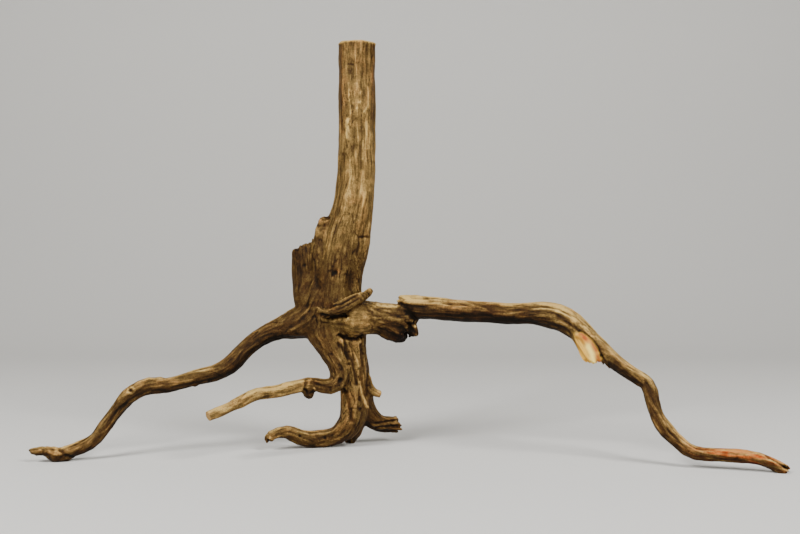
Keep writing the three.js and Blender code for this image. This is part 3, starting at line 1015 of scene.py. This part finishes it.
# %% Fray the broken ends
# Where a root snapped, some fibres broke further out than others. Each end is its x, y, z, the way it
# points, its radius, how much the fibres differ and how wide a bundle is, in mm.
FRAYED_ENDS = [
    ((93, 37, 19), (7.5, 4, -0.4), 12, 2.6, 1.8),
    ((293, -81, 101.5), (2, -1, -7), 9, 3.2, 2.4),
    ((-15, 5, 222), (-0.4, 0, 1), 14, 3.4, 4.0),
    ((92, -14, 157), (-1, 0.2, 0.1), 12, 3.0, 3.4),
    ((464, -139, 3.5), (1, -0.2, -0.4), 7, 2.4, 2.4),
    ((-50, -25, 11), (-0.3, -0.2, -1), 6, 0.8, 2.2),
]
FRAYED_LENGTH = 7 * MM
FRAYED_TO = 3
FRAYED_MARGIN = 2
FRAYED_TONE = 0.16
END_SHIFT = 4.4
for index, (centre, way, radius, depth, width) in enumerate(FRAYED_ENDS):
    way = unit(np.array(way))
    away = shaped - np.array(centre) * MM
    beyond = away @ way
    aside = away - beyond[:, None] * way
    lengths = beyond / FRAYED_LENGTH
    frayed = (lengths > -1) & (lengths < FRAYED_TO)
    frayed &= np.linalg.norm(aside, axis=1) < (radius + FRAYED_MARGIN) * MM
    pull = np.clip(1 + lengths[frayed], 0, 1) * np.clip(FRAYED_TO - lengths[frayed], 0, 1)
    bundle = noise_at(aside[frayed] / (width * MM) + END_SHIFT * index, 33)
    shaped[frayed] += (depth * MM * pull * bundle)[:, None] * way
    tone_change[frayed] += FRAYED_TONE * pull * bundle

shaped[:, 2] = np.maximum(shaped[:, 2], 0)
print("shaped; the box is", ((shaped.max(0) - shaped.min(0)) / MM).round(1).tolist())

# %% [markdown]
# ## Where the wood is pale, dark or reddish
# What faces up is paler and the underside darker: partly sun bleaching and dark bark, partly painted light
# on the tops and painted shade underneath. Hollows and a few nooks get painted shade, and bulges a painted
# highlight. These values are worked out once for each point and stored on the mesh, and the material reads
# them.

# %% Work out the tone of every point
# For each limb: how much its top is bleached and lit by painted light, how much darker its underside is from
# dark bark and painted shade, and how pale it gets.
BLEACH_AND_PAINTED_LIGHT = {
    "right_arm": (0.80, 0.46, 0.84),
    "sawn_root": (0.20, 0.23, 1.3),
    "left_arm": (0.40, 0.42, 1.0),
}
OTHER_LIMBS = (0.29, 0.34, 1.0)
BLEACH_CURVE = 1.6
BULGE_PASSES = 7
PALE_RIM_WIDTH = 1.1

tone, rust = (from_lines(lambda name, part: part["look"][:, index]) for index in range(2))
bleach_and_top_light, shaded, palest = (
    from_lines(lambda name, part: BLEACH_AND_PAINTED_LIGHT.get(name, OTHER_LIMBS)[index]) for index in range(3)
)
new_normals = outward(shaped)
# Upright wood gets a little of the painted light from above too.
facing_up = np.clip(0.1 + 0.9 * new_normals[:, 2], -1, 1)
# Painted light: what faces up is made paler, partly as real sun bleaching.
bleached_and_lit_tops = tone + limb * bleach_and_top_light * np.clip(facing_up, 0, 1) ** BLEACH_CURVE
# How far each point stands out of its surroundings; it drives painted shade in the hollows and a painted
# highlight on the bulges.
evened_out = shaped
for _ in range(BULGE_PASSES):
    evened_out = neighbour_mean(evened_out)
bulge = dot(shaped - evened_out, new_normals) / MM
streaked = 1 - 0.35 * zone["mottled"]
tone_parts = {
    # Paler tops: sun bleaching and painted light from above.
    "bleached_and_lit_tops": np.maximum(tone, np.minimum(bleached_and_lit_tops, palest)),
    # Darker undersides: dark bark and painted shade.
    "underside_bark_and_shade": limb * shaded * np.clip(facing_up, -1, 0),
    # The trunk is paler on top and darker below: sun bleaching and painted light from above.
    "trunk_bleach_and_top_light": 0.08 * (1 - limb) * facing_up,
    # Painted shade in the hollows and a painted highlight on the bulges.
    "hollow_shade_and_bulge_highlight": np.clip(0.45 * bulge, -0.22, 0.16),
    "fibres": streaked * mix({"coarse": 0.085, "middle": 0.085, "fine": 0.06}),
    "skin": mix({"knobs": 0.05, "swell": 0.04}),
    "mottling": 0.06 * zone["mottled"] * lumps(4, 43),
    "cracks": -0.20 * cracks,
    "marks": tone_change,
    "flakes": 0.10 * limb * (flakes - 0.4),
    "fine_streaks": 0.13 * limb * streaks(13, 1.7, 27),
    # Painted shade in a few nooks under the limbs and on the rib's top.
    "painted_shade_nooks": -0.16 * zone["painted_shade_nooks"],
    "frayed_strands": 0.2 * zone["fraying"] * strand_noise,
    "tip_streaks": 0.14 * zone["red_tip"] * streaks(9, 1.6, 46),
    "saw_rims": sum(end["pale_rim"] * near_cut(shaped, end, PALE_RIM_WIDTH) for end in SAWN_ENDS),
}
tone = sum(tone_parts.values())
rust_parts = {
    "limbs": rust * np.clip(0.75 + 1.1 * noises["middle"], 0, 1.6),
    "marks": rust_change,
    "blotches": 0.10 * lumps(16, 41),
    "streaks": 0.10 * noises["coarse"],
    "red_tip": 0.8 * zone["red_tip"] * streaks(14, 1.8, 45),
}
rust = sum(rust_parts.values())
# Darker fibres, a groove and the snapped edge show on the torn face.
torn_streak = np.clip(0.2 - 1.1 * torn_fibre + 0.75 * torn_dark, 0, 0.85)
print("tone from", round(float(tone.min()), 2), "to", round(float(tone.max()), 2))

# %% Store the values on the mesh
# The fibre's pattern is shifted from limb to limb, and shows where one limb clearly has the upper hand.
LIMB_SHIFT = 0.05
CLEAR_FROM = 0.15
CLEAR_SLOPE = 2.5
dominant = np.full(count, -1.0)
second = np.zeros(count)
fibre_place = np.zeros((count, 3))
for index, part in enumerate(grain.values()):
    who = part["who"]
    share = part["weight"] / total_weight[who]
    wins = share > dominant[who]
    second[who] = np.where(wins, np.maximum(dominant[who], 0), np.maximum(second[who], share))
    fibre_place[who[wins]] = part["fibre"][wins] + LIMB_SHIFT * index
    dominant[who[wins]] = share[wins]
clear_fibre = np.clip((dominant - second - CLEAR_FROM) * CLEAR_SLOPE, 0, 1)

root_mesh.vertices.foreach_set("co", shaped.ravel())
VALUES = {
    "wood_tone": tone,
    "wood_rust": rust,
    "torn_wood": torn,
    "torn_pink": pink,
    "torn_bright": brightest,
    "torn_streak": torn_streak,
    "clear_fibre": clear_fibre,
}
for name, values in VALUES.items():
    root_mesh.attributes.new(name, "FLOAT", "POINT").data.foreach_set("value", values.astype(np.float32))
root_mesh.attributes.new("fibre_place", "FLOAT_VECTOR", "POINT").data.foreach_set(
    "vector", fibre_place.astype(np.float32).ravel()
)
root_mesh.update()
print("stored:", [*VALUES, "fibre_place"])

# %% Thin the mesh out where it is smooth
MOST_TRIANGLES = 192000
triangles = sum(len(face.vertices) - 2 for face in root_mesh.polygons)
thin_out = root.modifiers.new("thin_out", "DECIMATE")
thin_out.ratio = min(1, MOST_TRIANGLES / triangles)
pick(root)
bpy.ops.object.modifier_apply(modifier=thin_out.name)
bpy.ops.object.shade_smooth()
print("from", triangles, "to", sum(len(face.vertices) - 2 for face in root.data.polygons), "triangles")

# %% Saw the two ends off
SAME_WAY = 0.999
for end in SAWN_ENDS:
    beyond, aside, facing = from_cut(read_all(root_mesh.vertices, "co", 3), end)
    at_end = (np.abs(beyond) < 3 * DRAWN_OUT) & (aside < 1.5 * end["radius"] * MM)
    mode("EDIT")
    bpy.ops.mesh.select_all(action="DESELECT")
    mode("OBJECT")
    root_mesh.vertices.foreach_set("select", at_end)
    mode("EDIT")
    bpy.ops.mesh.select_mode(type="VERT")
    pith = np.array(end["pith"]) * MM
    bpy.ops.mesh.bisect(plane_co=pith, plane_no=facing, use_fill=True, clear_outer=True)
    bpy.ops.mesh.mark_sharp()
    mode("OBJECT")

face_middles = read_all(root_mesh.polygons, "center", 3)
face_ways = read_all(root_mesh.polygons, "normal", 3)
sawn = np.zeros(len(face_ways), np.float32)
for end in SAWN_ENDS:
    beyond, aside, facing = from_cut(face_middles, end)
    flat = (np.abs(beyond) < SAME_PLACE) & (face_ways @ facing > SAME_WAY)
    sawn[flat & (aside < end["radius"] * MM)] = 1
root_mesh.attributes.new("sawn_wood", "FLOAT", "FACE").data.foreach_set("value", sawn)
cut_corners = [len(root_mesh.polygons[i].vertices) for i in np.flatnonzero(sawn)]
print("sawn faces:", len(cut_corners), "with", cut_corners, "corners")

# %% [markdown]
# ## The finish: weathered root wood
# Bare wood that has lain in the sun is dull, brown where it is sheltered and straw where it is bleached.
# Its fibres stand up a little, and that breaks up the light along them. The colour comes from the stored
# tone through a ramp, with three sizes of pattern on top: fibre bundles, specks and blotches.

# %% Read the stored values and make the patterns
wood = new_material("weathered_root_wood")
stored = {
    name: add_node(wood, "ShaderNodeAttribute", {"attribute_name": name}).outputs["Fac"]
    for name in [*VALUES, "sawn_wood"]
}
place = add_node(wood, "ShaderNodeTexCoord").outputs["Object"]
fibre = add_node(wood, "ShaderNodeAttribute", {"attribute_name": "fibre_place"}).outputs["Vector"]
# A fibre bundle shows about 0.7 mm wide and 14 mm long.
BUNDLE = (14 * MM, 0.7 * MM, 0.7 * MM)
bundle_place = add_node(
    wood, "ShaderNodeVectorMath", {"operation": "DIVIDE", 1: BUNDLE}, {0: fibre}
).outputs[0]
# Lichen and dirt speck the wood at 1.5 mm, and bark blotches it at 7 mm.
PATTERNS = {
    "bundles": (bundle_place, 1, 2, 0.6),
    "specks": (place, 1 / (1.5 * MM), 3, 0.65),
    "blotches": (place, 1 / (7 * MM), 3, 0.6),
}
CENTRED = {"clamp": False, "To Min": -0.5, "To Max": 0.5}
patterns = {}
for name, (where, scale, detail, roughness) in PATTERNS.items():
    settings = {"Scale": scale, "Detail": detail, "Roughness": roughness}
    noise = add_node(wood, "ShaderNodeTexNoise", settings, {"Vector": where}).outputs["Fac"]
    patterns[name] = add_node(wood, "ShaderNodeMapRange", CENTRED, {"Value": noise}).outputs[0]
# Where two roots meet, the fibre has no one direction, so its streaks fade there.
patterns["bundles"] = add_node(
    wood, MATH, {"operation": "MULTIPLY"}, {0: patterns["bundles"], 1: stored["clear_fibre"]}
).outputs[0]
print("patterns:", list(patterns))

# %% Colour the bare wood
CONTRAST = {"bundles": 0.55, "specks": 0.45, "blotches": 0.36}
tone_here = stored["wood_tone"]
for name, contrast in CONTRAST.items():
    tone_here = add_node(
        wood, MATH, {"operation": "MULTIPLY_ADD", 1: contrast}, {0: patterns[name], 2: tone_here}
    ).outputs[0]
# From dark bark through brown and olive wood to straw where it is bleached.
TONES = {
    0.0: "#100902",
    0.22: "#261707",
    0.42: "#432d12",
    0.58: "#5c4722",
    0.76: "#8d6f3e",
    1.0: "#d2b068",
}
tones = add_node(wood, "ShaderNodeValToRGB", links={0: tone_here})
ramp = tones.color_ramp
while len(ramp.elements) < len(TONES):
    ramp.elements.new(0.5)
for element, (position, colour) in zip(ramp.elements, TONES.items()):
    element.position = position
    element.color = linear(colour)
# Some streaks are reddish, as inner bark is.
RUST_CONTRAST = 0.5
rust_here = add_node(
    wood,
    MATH,
    {"operation": "MULTIPLY_ADD", "use_clamp": True, 1: RUST_CONTRAST},
    {0: patterns["blotches"], 2: stored["wood_rust"]},
).outputs[0]
surface = add_node(
    wood,
    MIX,
    {"data_type": "RGBA", "blend_type": "MULTIPLY", 7: linear("#f08a58")},
    {0: rust_here, 6: tones.outputs[0]},
).outputs[2]

# %% Colour the torn face and the sawn ends
# Fresh wood is cream, pink under the bark, with darker fibres and a bright streak.
fresh = {"data_type": "RGBA", 6: linear("#ffc95a"), 7: linear("#b0582c")}
torn_colour = add_node(wood, MIX, fresh, {0: stored["torn_pink"]}).outputs[2]
for name, colour in {"torn_streak": "#9a6420", "torn_bright": "#ffe27c"}.items():
    settings = {"data_type": "RGBA", 7: linear(colour)}
    torn_colour = add_node(wood, MIX, settings, {0: stored[name], 6: torn_colour}).outputs[2]
# Growth rings are about 1.6 mm apart on the sawn ends, and waver.
RING_GAP = 1.6 * MM
RING_WAVER = 3 * MM
to_pith = [
    add_node(
        wood, "ShaderNodeVectorMath", {"operation": "DISTANCE", 1: np.array(end["pith"]) * MM}, {0: place}
    ).outputs["Value"]
    for end in SAWN_ENDS
]
nearest_pith = add_node(wood, MATH, {"operation": "MINIMUM"}, {0: to_pith[0], 1: to_pith[1]}).outputs[0]
wavering = add_node(
    wood, MATH, {"operation": "MULTIPLY_ADD", 1: RING_WAVER}, {0: patterns["blotches"], 2: nearest_pith}
).outputs[0]
turns = {"operation": "MULTIPLY", 1: 2 * np.pi / RING_GAP}
ring_angle = add_node(wood, MATH, turns, {0: wavering}).outputs[0]
ring_wave = add_node(wood, MATH, {"operation": "SINE"}, {0: ring_angle}).outputs[0]
ring_share = add_node(
    wood, "ShaderNodeMapRange", {"From Min": -1, "From Max": 1, "To Max": 0.7}, {"Value": ring_wave}
).outputs[0]
rings = {"data_type": "RGBA", 6: linear("#b8935a"), 7: linear("#7a5528")}
sawn_colour = add_node(wood, MIX, rings, {0: ring_share}).outputs[2]
for name, colour in {"torn_wood": torn_colour, "sawn_wood": sawn_colour}.items():
    links = {0: stored[name], 6: surface, 7: colour}
    surface = add_node(wood, MIX, {"data_type": "RGBA"}, links).outputs[2]
print("colours mixed with", len(wood.node_tree.nodes), "nodes")

# %% Raise the fibres and set the shine
# The fibres and specks stand up by parts of a millimetre. The wood is dull, and its shine varies a little
# from blotch to blotch.
BUMP_STRENGTH = 0.7
BUMP_HEIGHT = 0.6 * MM
SPECK_SHARE = 0.6
DULLNESS = 0.65
DULLNESS_CHANGE = 0.2
height = add_node(
    wood, MATH, {"operation": "MULTIPLY_ADD", 1: SPECK_SHARE}, {0: patterns["specks"], 2: patterns["bundles"]}
).outputs[0]
bump = add_node(
    wood, "ShaderNodeBump", {"Strength": BUMP_STRENGTH, "Distance": BUMP_HEIGHT}, {"Height": height}
)
shine = {"operation": "MULTIPLY_ADD", 1: DULLNESS_CHANGE, 2: DULLNESS}
roughness = add_node(wood, MATH, shine, {0: patterns["blotches"]}).outputs[0]
wood_shader = add_node(
    wood,
    "ShaderNodeBsdfPrincipled",
    {"IOR": 1.45, "Specular IOR Level": 0.12},
    {"Base Color": surface, "Roughness": roughness, "Normal": bump.outputs[0]},
)
add_node(wood, "ShaderNodeOutputMaterial", links={"Surface": wood_shader.outputs[0]})
root.data.materials.clear()
root.data.materials.append(wood)
print("the wood has", len(wood.node_tree.nodes), "nodes")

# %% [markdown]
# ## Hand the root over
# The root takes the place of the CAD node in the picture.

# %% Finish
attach(root, "root")
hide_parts("dry_root")
